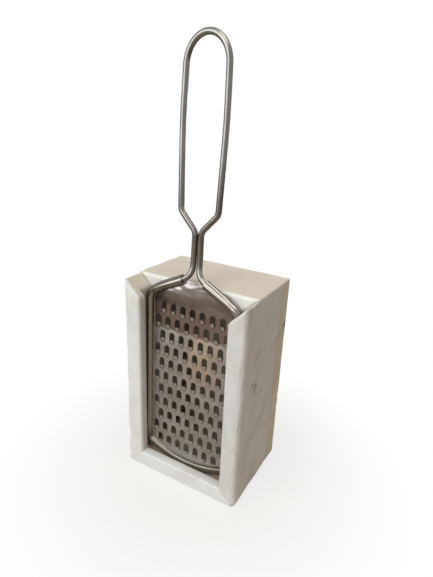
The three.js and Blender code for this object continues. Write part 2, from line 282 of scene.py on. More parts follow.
def marble(name, pale, grey, vein, shift, vein_turn, vein_strength, marks=(), cut=0.0, mouth=0.0):
    """Honed white marble: soft clouds, drifting grey veins, sugary grain and a few open pits."""
    material, stone, start = new_material(name)
    place = start.node("ShaderNodeTexCoord", {}, {}, "Object")
    block = stretched(place, (1.0, 1.0, 1.0), (0.0, 0.0, 0.0), shift)
    clouds = noise(block, 17.0, detail=4.0, roughness=0.5, warp=0.5).between(0.32, 0.68)
    mottle = noise(block, 85.0, detail=4.0, roughness=0.6).between(0.30, 0.72)
    blot = noise(block, 33.0, detail=3.0, roughness=0.6, warp=0.8).between(0.48, 0.70)
    grain = noise(block, 1500.0, detail=2.0, roughness=0.7)
    ground = (clouds * 0.6 + mottle * 0.4).tint(grey, pale)
    ground = (blot * 0.35).tint(ground, warm_blot)
    along = stretched(block, (1.0, 1.0, 0.30), vein_turn)
    smoke = noise(along, 44.0, detail=4.0, roughness=0.55, warp=0.5).between(0.52, 0.74)
    ridge = noise(along, 24.0, detail=4.0, roughness=0.5, warp=0.7) - 0.5
    thread = 1 - ridge.size().between(0.0, 0.022)
    patch = noise(block, 19.0, detail=2.0, roughness=0.5).between(0.50, 0.66)
    colour = ((smoke * 0.45 + thread * 0.55) * patch * vein_strength).tint(ground, vein)
    colour = streaked(colour, place, marks)
    # Marks of use go on here, with painted shade in the hollow and grooves and a painted light on the top
    # slab's front face.
    colour = soiled_and_shaded(colour, place, mottle, cut, mouth)
    wear = start.node("ShaderNodeAttribute", {"attribute_name": "eased"}, {}, "Fac")
    colour = (wear * (0.10 + mottle * 0.35)).tint(colour, worn_white)
    speck = place.node("ShaderNodeTexVoronoi", {}, {"Vector": block, "Scale": 210.0}, "Distance")
    pit = (1 - speck.between(0.03, 0.11)) * noise(block, 42.0, detail=1.0).between(0.58, 0.66)
    stone.inputs["IOR"].default_value = 1.49
    start.feed(stone.inputs["Base Color"], (pit * 0.55).tint(colour, pit_brown))
    start.feed(stone.inputs["Roughness"], 0.42 + clouds * 0.08 + grain * 0.10 + wear * 0.10)
    height = grain * 0.25 + mottle * 0.4 - pit * 2.5
    bump = start.node("ShaderNodeBump", {}, {"Strength": 0.3, "Distance": 0.00012, "Height": height})
    start.feed(stone.inputs["Normal"], bump)
    return material


def mesh_piece(name, points, faces, material):
    mesh = bpy.data.meshes.new(name)
    mesh.from_pydata([Vector(point) * MM for point in points], [], faces)
    mesh.materials.append(material)
    piece = bpy.data.objects.new(name, mesh)
    bpy.context.collection.objects.link(piece)
    return piece


def outside(point):
    """How far a point lies in from each outer face of the stand, in millimetres."""
    x, y, z = point
    return {
        "side": half - abs(x),
        "front": y - front,
        "rear": rear - y,
        "foot": z,
        "top": stand_height - z,
    }


def worn(point):
    """The point after the stand's outer edges have been rounded over by hand, a little unevenly."""
    x, y, z = point
    inset = outside(point)
    swell = chance.noise(Vector(point) / swell_span)
    chip = max(0.0, chance.noise(Vector(point) / chip_span) - least_chip)
    on_right = x > 0
    right_foot = right_foot_round + right_foot_gain * (y - front) / stand_depth
    rounds = [
        ("side", "front", right_front_round if on_right else left_front_round),
        ("side", "rear", side_rear_round),
        ("side", "foot", right_foot if on_right else left_foot_round),
        ("side", "top", side_top_round),
        ("front", "foot", right_sill_round if on_right else left_sill_round),
        ("rear", "foot", rear_foot_round),
        ("rear", "top", rear_top_round),
    ]
    for one, other, radius in rounds:
        uneven = radius * (1 + swell_share * swell) + chip_size * chip
        u = uneven - inset[one]
        v = uneven - inset[other]
        if u > 0 and v > 0:
            squeeze = max(u, v) / math.hypot(u, v)
            inset[one] += u * (1 - squeeze)
            inset[other] += v * (1 - squeeze)
    return Vector((
        math.copysign(half - inset["side"], x),
        front + inset["front"] if y < 0 else rear - inset["rear"],
        inset["foot"] if z < stand_height / 2 else stand_height - inset["top"],
    ))


def on_outside(face):
    """Whether all of a face lies in one of the stand's outer faces."""
    sides = [set(k for k, gap in outside(v.co / MM).items() if abs(gap) < flush) for v in face.verts]
    return bool(set.intersection(*sides))


def rounding_lines(low, high):
    """Where to divide a slab along one axis: an even grid, and closer lines beside the outer edges."""
    count = round((high - low) / grid_step)
    lines = [low + (high - low) * k / count for k in range(1, count)]
    for reach in edge_lines:
        lines += [low + reach, high - reach]
    return lines


def cut_through(shape, axis, line):
    """Divide every face that crosses one plane, square to an axis."""
    spot = [0.0, 0.0, 0.0]
    spot[axis] = line * MM
    normal = [0.0, 0.0, 0.0]
    normal[axis] = 1.0
    everything = shape.verts[:] + shape.edges[:] + shape.faces[:]
    bmesh.ops.bisect_plane(
        shape, geom=everything, dist=cut_tolerance * MM, plane_co=spot, plane_no=normal,
    )


def sharp_edges(shape, chosen):
    """The sharp edges inside the stand's outline whose two ends both pass a test."""
    found = []
    for edge in shape.edges:
        sharp = edge.is_convex and edge.calc_face_angle(0.0) > sharp_angle
        if sharp and not all(map(on_outside, edge.link_faces)):
            if all(chosen(v.co / MM) for v in edge.verts):
                found.append(edge)
    return found


def eased_slab(name, low_ring, high_ring, material):
    """A sawn slab between two matching rings of corners: joint edges eased, outer edges rounded over."""
    count = len(low_ring)
    faces = [list(range(count))[::-1], list(range(count, 2 * count))]
    for k in range(count):
        step = (k + 1) % count
        faces.append([k, step, step + count, k + count])
    piece = mesh_piece(name, low_ring + high_ring, faces, material)
    shape = bmesh.new()
    shape.from_mesh(piece.data)
    bmesh.ops.recalc_face_normals(shape, faces=shape.faces)
    mouth_end = front + top_setback
    cut_through(shape, 1, mouth_end)
    mouth_foot = stand_height - slab - mouth_drop

    def at_mouth(v):
        left_lip = abs(v.x + inside) < touching and v.y < front + touching
        return left_lip or (v.y < mouth_end + clear and v.z > mouth_foot)

    def at_lip(v):
        return abs(v.x) < inside + touching and v.y < front + touching

    stages = [(mouth_ease, at_mouth), (lip_ease, at_lip), (joint_ease, lambda v: True)]
    for ease, chosen in stages:
        edges = sharp_edges(shape, chosen)
        if edges:
            bmesh.ops.bevel(
                shape, geom=edges, offset=ease * MM, offset_type="OFFSET", segments=bevel_steps,
                profile=0.5, affect="EDGES", clamp_overlap=True,
            )
    for axis, (low, high) in enumerate(((-half, half), (front, rear), (0.0, stand_height))):
        least = min(v.co[axis] for v in shape.verts) / MM
        most = max(v.co[axis] for v in shape.verts) / MM
        for line in rounding_lines(low, high):
            if least + clear < line < most - clear:
                cut_through(shape, axis, line)
    eased = shape.verts.layers.float.new("eased")
    for vert in shape.verts:
        moved = worn(vert.co / MM) * MM
        vert[eased] = min(1.0, (moved - vert.co).length / (full_wear * MM))
        vert.co = moved
    for face in shape.faces:
        face.smooth = True
    shape.to_mesh(piece.data)
    shape.free()
    smooth = piece.modifiers.new("even_shading", "WEIGHTED_NORMAL")
    smooth.keep_sharp = True
    return piece


def along_x(profile, reach):
    """Rings for a slab that runs across the stand: (y, z) corners and the half-length at each z."""
    left = [(-reach(z), y, z) for y, z in profile]
    return left, [(reach(z), y, z) for y, z in profile]


pale_white = rgb(0.760, 0.770, 0.750)
cloud_grey = rgb(0.660, 0.672, 0.655)
vein_grey = rgb(0.360, 0.360, 0.350)
groove_floor = slab - base_groove_depth
base_profile = [
    (front, 0.0), (seam - joint_gap, 0.0), (seam - joint_gap, slab), (front + top_setback, slab),
    (front + top_setback, groove_floor), (front + front_lip, groove_floor), (front + front_lip, slab),
    (front, slab),
]
base_stone = marble(
    "base_marble", rgb(0.800, 0.830, 0.835), rgb(0.705, 0.735, 0.738), vein_grey,
    shift=(0.31, 0.12, 0.05), vein_turn=(0.3, 0.9, 0.2), vein_strength=0.35,
)
base = eased_slab(
    "base_marble", *along_x(base_profile, lambda z: half - z - joint_gap), base_stone,
)
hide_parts("base_slab")
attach(base, "stand")

# Side slabs: two uprights of the same marble, mitred at both ends, each with an upright groove
# in its inner face for the grater's rim. The right one is rounded over more than the left, most
# of all along its foot.


def side_plan(sign):
    plan = [
        (half, front), (half, seam - joint_gap), (inside, seam - joint_gap), (inside, front + top_setback),
        (inside + groove_depth, front + top_setback), (inside + groove_depth, front + front_lip),
        (inside, front + front_lip), (inside, front),
    ]
    return [(sign * x, y) for x, y in plan]


def between_mitres(plan):
    low = [(x, y, half - abs(x) + joint_gap) for x, y in plan]
    return low, [(x, y, stand_height - z) for x, y, z in low]


dark_vein = rgb(0.14, 0.135, 0.13)
smoke_vein = rgb(0.30, 0.29, 0.28)
ochre_vein = rgb(0.40, 0.28, 0.13)
left_marks = [
    ((-half, -10.0, 98.0), (14.0, 4.0, 36.0), (34.0, 0.0), smoke_vein, 0.28),
    ((-half, 6.0, 46.0), (14.0, 3.4, 32.0), (28.0, 0.0), smoke_vein, 0.30),
]
left_stone = marble(
    "left_marble", pale_white, cloud_grey, vein_grey,
    shift=(0.02, 0.44, 0.27), vein_turn=(0.2, 0.7, 0.4), vein_strength=0.30,
    marks=left_marks, cut=0.7,
)
left_side = eased_slab("left_marble", *between_mitres(side_plan(-1)), left_stone)
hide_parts("left_slab")
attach(left_side, "stand")

right_marks = [
    ((half, -19.0, 92.0), (16.0, 2.6, 5.0), (-30.0, 0.0), dark_vein, 0.70),
    ((half, -13.5, 89.0), (16.0, 2.8, 5.5), (-22.0, 0.0), dark_vein, 0.85),
    ((half, -3.0, 81.0), (16.0, 2.4, 4.5), (-30.0, 0.0), dark_vein, 0.45),
    ((half, -14.0, 113.0), (16.0, 6.0, 12.0), (-42.0, 0.0), smoke_vein, 0.38),
    ((half, -9.0, 52.0), (16.0, 8.0, 20.0), (-55.0, 0.0), smoke_vein, 0.26),
    ((half, 4.0, 62.0), (16.0, 7.0, 22.0), (-30.0, 0.0), smoke_vein, 0.24),
    ((half, -7.0, 14.0), (16.0, 8.0, 17.0), (-35.0, 0.0), smoke_vein, 0.30),
    ((half, -24.0, 128.0), (16.0, 6.0, 14.0), (-24.0, 0.0), smoke_vein, 0.24),
    ((half, 16.0, 111.0), (16.0, 4.0, 7.0), (-38.0, 0.0), ochre_vein, 0.40),
]
right_stone = marble(
    "right_marble", rgb(0.690, 0.692, 0.680), rgb(0.605, 0.607, 0.595), rgb(0.32, 0.315, 0.305),
    shift=(0.57, 0.21, 0.36), vein_turn=(-0.70, 0.0, 0.0), vein_strength=0.5,
    marks=right_marks, cut=0.25,
)
right_side = eased_slab("right_marble", *between_mitres(side_plan(1)), right_stone)
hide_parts("right_slab")
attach(right_side, "stand")

# Top slab: a shorter mitred strip set back from the front, so that the grater drops in before it.
# This stone is a creamier cut than the sides.
top_profile = [
    (front + top_setback, stand_height - slab), (seam - joint_gap, stand_height - slab),
    (seam - joint_gap, stand_height), (front + top_setback, stand_height),
]
# Its front face is painted whiter and cooler than its top, a painted light from the front.
top_stone = marble(
    "top_marble", rgb(0.672, 0.606, 0.510), rgb(0.615, 0.550, 0.455), rgb(0.43, 0.38, 0.31),
    shift=(0.83, 0.40, 0.11), vein_turn=(0.1, 0.4, 1.1), vein_strength=0.25, mouth=0.85,
)
top = eased_slab(
    "top_marble", *along_x(top_profile, lambda z: half - stand_height + z - joint_gap), top_stone,
)
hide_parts("top_slab")
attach(top, "stand")

# Back slab: one full-size piece glued across the rear of the other four, ground flush with them
# and rounded on its two rear uprights.
back_plan = [(half, rear), (-half, rear), (-half, seam + joint_gap), (half, seam + joint_gap)]
back_marks = [
    ((half, 30.5, 118.5), (16.0, 4.2, 5.5), (-50.0, 0.0), rgb(0.05, 0.045, 0.04), 0.95),
    ((half, 22.0, 114.0), (16.0, 4.0, 7.0), (-44.0, 0.0), ochre_vein, 0.45),
    ((half, 24.0, 74.0), (16.0, 7.0, 20.0), (-32.0, 0.0), smoke_vein, 0.26),
    ((-half, 26.0, 60.0), (16.0, 7.0, 22.0), (34.0, 0.0), smoke_vein, 0.30),
    ((-12.0, rear, 96.0), (6.0, 16.0, 48.0), (0.0, 30.0), smoke_vein, 0.30),
    ((17.0, rear, 54.0), (5.0, 16.0, 42.0), (0.0, 36.0), smoke_vein, 0.34),
    ((-28.0, rear, 38.0), (4.0, 16.0, 30.0), (0.0, 24.0), smoke_vein, 0.26),
    ((24.0, rear, 120.0), (2.4, 16.0, 28.0), (0.0, 42.0), dark_vein, 0.24),
    ((-22.0, rear, 30.0), (9.0, 16.0, 22.0), (0.0, 48.0), smoke_vein, 0.20),
    ((6.0, rear, 122.0), (12.0, 16.0, 26.0), (0.0, 55.0), smoke_vein, 0.16),
]
back_stone = marble(
    "back_marble", rgb(0.690, 0.640, 0.560), rgb(0.605, 0.558, 0.480), rgb(0.34, 0.325, 0.30),
    shift=(0.44, 0.17, 0.92), vein_turn=(0.0, 0.75, 0.0), vein_strength=0.35, marks=back_marks,
)
back_piece = eased_slab(
    "back_marble", [(x, y, 0.0) for x, y in back_plan], [(x, y, stand_height) for x, y in back_plan],
    back_stone,
)
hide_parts("back_slab")
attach(back_piece, "stand")

# Glue: a thin line of stone adhesive in every joint, cream in the four mitres and brown round
# the back slab, wiped back to just under the surface.
glue_fill = 0.9
glue_half = joint_gap * glue_fill
glue_recess = 0.08
glue_flare = 0.26
glue_neck = 0.75
corner_reach = 9.0


def glue_material(name, dark, light):
    material, paste, start = new_material(name)
    place = start.node("ShaderNodeTexCoord", {}, {}, "Object")
    stain = noise(place, 260.0, detail=3.0, roughness=0.6).between(0.35, 0.7)
    start.feed(paste.inputs["Base Color"], stain.tint(dark, light))
    start.feed(paste.inputs["Roughness"], 0.35 + stain * 0.25)
    bump = start.node("ShaderNodeBump", {}, {"Strength": 0.4, "Distance": 0.0001, "Height": stain})
    start.feed(paste.inputs["Normal"], bump)
    return material


def glue_strip(name, inner, outer, normal, y_low, y_high, material):
    """A strip in the joint between two (x, z) points, flared where it reaches the outside."""
    reach = (Vector(outer) - Vector(inner)).normalized()
    back_off = reach * glue_recess * math.sqrt(2)
    neck = reach * glue_neck
    start = Vector(inner) + back_off
    end = Vector(outer) - back_off
    wide = Vector(normal) * glue_flare
    thin = Vector(normal) * glue_half
    section = [
        start + wide, start + neck + thin, end - neck + thin, end + wide,
        end - wide, end - neck - thin, start + neck - thin, start - wide,
    ]
    count = len(section)
    stops = round((y_high - y_low) / grid_step)
    points = []
    for k in range(stops + 1):
        y = y_low + (y_high - y_low) * k / stops
        points += [worn((p.x, y, p.y)) for p in section]
    last = stops * count
    faces = [list(range(count)), list(range(last, last + count))[::-1]]
    for a in range(0, last, count):
        for k in range(count):
            step = (k + 1) % count
            faces.append([a + k, a + k + count, a + step + count, a + step])
    return mesh_piece(name, points, faces, material)


cream_paste = glue_material("cream_glue", rgb(0.66, 0.61, 0.50), rgb(0.80, 0.76, 0.66))
brown_paste = glue_material("brown_glue", rgb(0.20, 0.145, 0.095), rgb(0.40, 0.31, 0.22))
joints = [
    ("glue_lower_left", (-inside, slab), (-half, 0.0), front),
    ("glue_lower_right", (inside, slab), (half, 0.0), front),
    ("glue_upper_left", (-inside, stand_height - slab), (-half, stand_height), front + top_setback),
    ("glue_upper_right", (inside, stand_height - slab), (half, stand_height), front + top_setback),
]
for name, inner, outer, begins in joints:
    run = Vector(outer) - Vector(inner)
    across = Vector((-run.y, run.x)).normalized()
    strip = glue_strip(name, inner, outer, across, begins + glue_recess, seam - joint_gap, cream_paste)
    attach(strip, "stand")

frame_out = [(-half, 0.0), (half, 0.0), (half, stand_height), (-half, stand_height)]
frame_in = [(-inside, slab), (inside, slab), (inside, stand_height - slab), (-inside, stand_height - slab)]


def drawn_in(corners, amount):
    middle = stand_height / 2
    return [(x - math.copysign(amount, x), z - math.copysign(amount, z - middle)) for x, z in corners]


def divided(corners):
    """The same ring with a point added towards each end of every side, clear of the rounded corners."""
    ring = []
    for k, corner in enumerate(corners):
        here = Vector(corner)
        after = Vector(corners[(k + 1) % len(corners)])
        run = (after - here).normalized() * corner_reach
        ring += [here, here + run, after - run]
    return ring


surface = drawn_in(frame_out, glue_recess)
neck_ring = drawn_in(frame_out, glue_neck)
rings = [
    (surface, seam - glue_flare), (surface, seam + glue_flare),
    (neck_ring, seam + glue_half), (frame_in, seam + glue_half),
    (frame_in, seam - glue_half), (neck_ring, seam - glue_half),
]
points = [worn((p.x, y, p.y)) for ring, y in rings for p in divided(ring)]
around = len(points) // len(rings)
faces = []
for r in range(len(rings)):
    here = r * around
    after = (r + 1) % len(rings) * around
    for k in range(around):
        step = (k + 1) % around
        faces.append([here + k, here + step, after + step, after + k])
glue_frame = mesh_piece("glue_back", points, faces, brown_paste)
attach(glue_frame, "stand")

# Wire: one length of 4 mm stainless wire, bent cold into the handle loop, the paired neck,
# the shoulders and the rim that the sheet is rolled round. It is drawn bright and polished.
lean = math.radians(1.3)
wire_radius = 2.0
sheet_thickness = 0.4
roll_clearance = 0.1
roll_slack = 0.7
side_clearance = 0.5
lip_clearance = 0.2
seat_clearance = 0.1
roll_deep = wire_radius + roll_clearance + sheet_thickness
roll_across = roll_deep + roll_slack
rim_half = inside + groove_depth - side_clearance - roll_across
axis_deep = front + front_lip + lip_clearance + roll_deep
axis_up = slab - base_groove_depth + seat_clearance + roll_across
arc_radius = 75.0
corner_run = 5.8
butt_gap = 0.8
lower_corner_radius = 5.0
shoulder_drop = 11.2
shoulder_radius = 8.0
kink_inset = 10.2
kink_rise = 6.5
kink_radius = 30.0
neck_rise = 10.4
neck_foot_gap = 1.0
neck_radius = 10.0
roll_margin = 0.45
neck_length = 29.2
neck_top_gap = 0.3
neck_top_radius = 7.0
flare_rise = 12.3
loop_foot_half = 13.6
loop_foot_radius = 6.5
belly_rise = 54.0
belly_half = 15.1
belly_radius = 400.0
loop_length = 83.0
crown_half = 14.3
crown_rise = 17.0
bend_rise = 2.2
handle_setback = 4.3
setback_length = 25.5
handle_slope = 0.026
arc_steps = 14
crown_steps = 20
bend_step = math.radians(4)
longest_run = 4.0
wire_sides = 24

arc_half = rim_half - corner_run
shoulder = stand_height - axis_up - shoulder_drop
bend_start = shoulder + bend_rise
kink = Vector((rim_half - kink_inset, shoulder + kink_rise))
neck_foot = Vector((wire_radius + neck_foot_gap / 2, kink.y + neck_rise))
neck_top = Vector((wire_radius + neck_top_gap / 2, neck_foot.y + neck_length))
loop_foot = Vector((loop_foot_half, neck_top.y + flare_rise))
loop_belly = Vector((belly_half, loop_foot.y + belly_rise))
crown_foot = Vector((crown_half, loop_foot.y + loop_length))


def grater_point(x, h, n):
    """A point across, up and deep in the grater's own plane, put where it leans in the stand."""
    return (
        x,
        axis_deep + h * math.sin(lean) + n * math.cos(lean),
        axis_up + h * math.cos(lean) - n * math.sin(lean),
    )


def rounded(bends):
    """A line through (across, up, radius) bends, with an arc at each bend that has a radius."""
    line = []
    for k, (x, h, radius) in enumerate(bends):
        here = Vector((x, h))
        if not radius:
            line.append(here)
            continue
        before = (Vector(bends[k - 1][:2]) - here).normalized()
        after = (Vector(bends[k + 1][:2]) - here).normalized()
        half_angle = math.acos(max(-1.0, min(1.0, before.dot(after)))) / 2
        turn = math.pi - 2 * half_angle
        centre = here + (before + after).normalized() * (radius / math.sin(half_angle))
        spoke = here + before * (radius / math.tan(half_angle)) - centre
        way = -math.copysign(1.0, before.x * after.y - before.y * after.x)
        steps = max(2, math.ceil(turn / bend_step))
        for i in range(steps + 1):
            line.append(centre + Matrix.Rotation(way * turn * i / steps, 2) @ spoke)
    return line


def arc_height(x):
    """How far the curved bottom of the rim has risen at a distance from the middle."""
    return arc_radius - math.sqrt(arc_radius ** 2 - x ** 2)


def spaced(line, longest):
    """The same line with its long straight runs divided."""
    dense = [line[0]]
    for point in line[1:]:
        run = (point - dense[-1]).length
        last = dense[-1]
        pieces = max(1, math.ceil(run / longest))
        dense += [last.lerp(point, (k + 1) / pieces) for k in range(pieces)]
    return dense


def eased_step(value, low, high):
    share = min(1.0, max(0.0, (value - low) / (high - low)))
    return share * share * (3 - 2 * share)


def setback(h):
    """How far the fan of the sheet, the neck and the handle are bent back out of the sheet's plane."""
    bend_end = bend_start + setback_length
    bent = handle_setback * eased_step(h, bend_start, bend_end)
    return bent + handle_slope * max(0.0, h - bend_end)


def mirrored(line):
    return [Vector((-point.x, point.y)) for point in reversed(line)]


arc_slope = arc_half / math.sqrt(arc_radius ** 2 - arc_half ** 2)
corner_height = arc_height(arc_half) + corner_run * arc_slope
down_shoulder = (kink - neck_foot).normalized()
up_neck = (neck_top - neck_foot).normalized()
neck_angle = math.acos(down_shoulder.dot(up_neck))
roll_stop = neck_foot + down_shoulder * (neck_radius / math.tan(neck_angle / 2) + roll_margin)
arc_bends = []
for k in range(arc_steps + 1):
    x = butt_gap / 2 + (arc_half - butt_gap / 2) * k / arc_steps
    arc_bends.append((x, arc_height(x), 0))
rim_line = rounded(arc_bends + [
    (rim_half, corner_height, lower_corner_radius),
    (rim_half, shoulder, shoulder_radius),
    (*kink, kink_radius),
    (*roll_stop, 0),
])
handle_line = rounded([
    (*roll_stop, 0),
    (*neck_foot, neck_radius),
    (*neck_top, neck_top_radius),
    (*loop_foot, loop_foot_radius),
    (*loop_belly, belly_radius),
    (*crown_foot, 0),
])[1:]
crown = []
for k in range(1, crown_steps + 1):
    angle = math.pi / 2 * k / crown_steps
    crown.append(Vector((crown_half * math.cos(angle), crown_foot.y + crown_rise * math.sin(angle))))
right_half = spaced(rim_line + handle_line + crown, longest_run)
wire_line = right_half + mirrored(right_half[:-1])
wire_path = [Vector(grater_point(p.x, p.y, setback(p.y))) for p in wire_line]


def tube(name, path, radius, sides, material):
    """A round bar along a path, with flat ends."""
    points = []
    faces = []
    normal = Vector((0.0, 1.0, 0.0))
    for k, point in enumerate(path):
        along = (path[min(k + 1, len(path) - 1)] - path[max(k - 1, 0)]).normalized()
        normal = (normal - along * normal.dot(along)).normalized()
        side = along.cross(normal)
        for i in range(sides):
            angle = 2 * math.pi * i / sides
            points.append(point + (normal * math.cos(angle) + side * math.sin(angle)) * radius)
    for k in range(len(path) - 1):
        for i in range(sides):
            step = (i + 1) % sides
            faces.append([k * sides + i, k * sides + step, (k + 1) * sides + step, (k + 1) * sides + i])
    last = (len(path) - 1) * sides
    faces.append(list(range(sides))[::-1])
    faces.append(list(range(last, last + sides)))
    piece = mesh_piece(name, points, faces, material)
    shape = bmesh.new()
    shape.from_mesh(piece.data)
    bmesh.ops.recalc_face_normals(shape, faces=shape.faces)
    for face in shape.faces:
        face.smooth = len(face.verts) == 4
    shape.to_mesh(piece.data)
    shape.free()
    return piece


wire_dark = rgb(0.168, 0.159, 0.147)
wire_pale = rgb(0.218, 0.206, 0.191)
scuffed = rgb(0.120, 0.110, 0.098)


def wire_steel():
    """Polished drawn wire: fingerprints and small dull scuffs."""
    material, steel, start = new_material("bright_wire")
    place = start.node("ShaderNodeTexCoord", {}, {}, "Object")
    smear = noise(place, 40.0, detail=1.0, roughness=0.4).between(0.35, 0.7)
    scuff = noise(place, 85.0, detail=1.0, roughness=0.4).between(0.40, 0.75)
    colour = smear.tint(wire_dark, wire_pale)
    steel.inputs["Metallic"].default_value = 1.0
    start.feed(steel.inputs["Base Color"], (scuff * 0.25).tint(colour, scuffed))
    start.feed(steel.inputs["Roughness"], 0.20 + smear * 0.03 + scuff * 0.03)
    return material


wire = tube("bright_wire", wire_path, wire_radius, wire_sides, wire_steel())
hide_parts("wire_frame")
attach(wire, "grater")

# Grating sheet: thin stainless sheet, pierced in staggered rows by a punch that lifts a scoop-shaped
# tooth below each hole, then rolled over the wire along its shoulders, sides and bottom. It bows back
# a little towards the upper rows.
low_depth = 0.1
bow_start = 55.0
bow_length = 69.0
bow_depth = 2.0
bow_end = bow_start + bow_length
fan_return = 0.6
return_lead = 2.0
return_run = 16.0
return_start = bow_end - return_lead
return_end = bow_end + return_run
roll_fillet = 0.8
roll_lip = math.radians(50)
lead_in = 0.3
fillet_steps = 6
ring_steps = 24
halvings = 30
settling = 8
free_edge_drops = [(6.2, 4.2), (5.0, 3.7), (3.0, 3.9), (0.0, 4.3)]
tooth_pitch = 7.8
row_pitch = 10.695
row_tilt = math.radians(1.4)
first_row = 13.6
row_count = 11
long_row = 8
slot_half = 2.1
opening = 5.2
arch = 1.9
tongue_length = 3.9
tongue_room = 1.8
least_tongue = 0.8
tongue_rise = 1.5
crease_width = 1.2
side_crease_share = 1.3
foot_power = 0.5
fullness_power = 0.7
rise_power = 0.75
crest_steps = 10
foot_steps = 18
tongue_steps = 8
fan_rows = 12
fan_side = 10
fan_across = 3.0
fan_up = 1.5
fan_margin = 0.015
roll_tint_columns = 2
inside_only = 1
merge_distance = 1e-5
weld = 0.004
cut_angle = math.radians(38)
ring_deep = roll_deep - sheet_thickness / 2
ring_across = roll_across - sheet_thickness / 2


def ring_point(angle):
    return Vector((ring_across * math.cos(angle), ring_deep * math.sin(angle)))


def ring_normal(angle):
    return Vector((math.cos(angle) / ring_across, math.sin(angle) / ring_deep)).normalized()


def sheet_depth(h):
    """How far the plate lies behind the middle of the wire: it bows back towards its upper rows."""
    rise = min(1.0, max(0.0, (h - bow_start) / bow_length))
    bowed = low_depth + bow_depth * rise * rise
    return bowed - fan_return * eased_step(h, return_start, return_end)


def roll_section(depth):
    """The rolled rim cut across: a fillet out of the plate, then most of a turn round the wire."""
    low, high = math.pi / 2, 1.5 * math.pi
    for _ in range(halvings):
        touch = (low + high) / 2
        if ring_point(touch).y + roll_fillet * ring_normal(touch).y > depth - roll_fillet:
            low = touch
        else:
            high = touch
    centre = ring_point(touch) + ring_normal(touch) * roll_fillet
    section = [Vector((centre.x - lead_in, depth))]
    bend_end = math.atan2(-ring_normal(touch).y, -ring_normal(touch).x)
    for k in range(fillet_steps + 1):
        angle = math.pi / 2 + (bend_end - math.pi / 2) * k / fillet_steps
        section.append(centre + roll_fillet * Vector((math.cos(angle), math.sin(angle))))
    start = touch - 2 * math.pi
    for k in range(1, ring_steps + 1):
        section.append(ring_point(start + (roll_lip - start) * k / ring_steps))
    return section


right_rim = spaced([Vector((0.0, 0.0))] + rim_line[1:], longest_run)
rim_path = mirrored(right_rim[1:]) + right_rim
outward = []
for k in range(len(rim_path)):
    run = rim_path[min(k + 1, len(rim_path) - 1)] - rim_path[max(k - 1, 0)]
    outward.append(Vector((run.y, -run.x)).normalized())

sheet_points = []
sheet_faces = []
plate_outline = []
for k, point in enumerate(rim_path):
    edge = point
    for _ in range(settling):
        section = roll_section(sheet_depth(edge.y))
        edge = point + outward[k] * section[0].x
    plate_outline.append(edge)
    for across, deep in section:
        spot = point + outward[k] * across
        sheet_points.append((spot.x, spot.y, deep + setback(spot.y)))
columns = fillet_steps + ring_steps + 2
for k in range(len(rim_path) - 1):
    for i in range(columns - 1):
        a = k * columns + i
        sheet_faces.append([a, a + 1, a + columns + 1, a + columns])

free_edge = [Vector((x, neck_foot.y - drop)) for x, drop in free_edge_drops]
plate_outline += free_edge + mirrored(free_edge[:-1])


def slot_loop(x, h):
    """The pierced outline: round arch above, then the foot of the tooth below its cutting edge."""
    edge = h - opening / 2
    spring = h + opening / 2 - arch
    room = edge - arc_height(x) - roll_across - tongue_room
    reach = min(tongue_length, max(least_tongue, room))
    foot = []
    for k in range(foot_steps + 1):
        angle = math.pi + math.pi * k / foot_steps
        depth = abs(math.sin(angle)) ** foot_power if 0 < k < foot_steps else 0.0
        foot.append(Vector((x + slot_half * math.cos(angle), edge - reach * depth)))
    crest = []
    for k in range(crest_steps + 1):
        angle = math.pi * k / crest_steps
        crest.append(Vector((x + slot_half * math.cos(angle), spring + arch * math.sin(angle))))
    return foot, crest


teeth = []
for row in range(row_count):
    count = long_row - 1 if row % 2 == 0 else long_row
    for k in range(count):
        x = (k - (count - 1) / 2) * tooth_pitch
        teeth.append((x, first_row + row * row_pitch - x * math.tan(row_tilt)))

flat_points = list(plate_outline)
flat_edges = [(k, (k + 1) % len(plate_outline)) for k in range(len(plate_outline))]
for x, h in teeth:
    foot, crest = slot_loop(x, h)
    loop = foot + crest
    first = len(flat_points)
    flat_points += loop
    flat_edges += [(first + k, first + (k + 1) % len(loop)) for k in range(len(loop))]


def encloses(loop, point):
    """Whether a closed loop goes round a point."""
    found = False
    for k in range(len(loop)):
        a, b = loop[k - 1], loop[k]
        if (a.y > point.y) != (b.y > point.y):
            if point.x < a.x + (point.y - a.y) / (b.y - a.y) * (b.x - a.x):
                found = not found
    return found


shoulder_middle = Vector((0.0, shoulder))
shrunk = [point.lerp(shoulder_middle, fan_margin) for point in plate_outline]
for row in range(fan_rows):
    for k in range(-fan_side, fan_side + 1):
        point = Vector((k * fan_across, bend_start - fan_across + row * fan_up))
        if encloses(shrunk, point):
            flat_points.append(point)
spots, _, triangles, _, _, _ = delaunay_2d_cdt(
    flat_points, flat_edges, [list(range(len(plate_outline)))], inside_only, merge_distance,
)


def in_slot(middle):
    for x, h in teeth:
        if abs(middle.x - x) < slot_half and abs(middle.y - h) < opening / 2 + tongue_length:
            foot, crest = slot_loop(x, h)
            if encloses(foot + crest, middle):
                return True
    return False


first = len(sheet_points)
sheet_points += [(p.x, p.y, sheet_depth(p.y) + setback(p.y)) for p in spots]
for triangle in triangles:
    middle = sum((spots[k] for k in triangle), Vector((0.0, 0.0))) / 3
    if not in_slot(middle):
        sheet_faces.append([first + k for k in triangle])

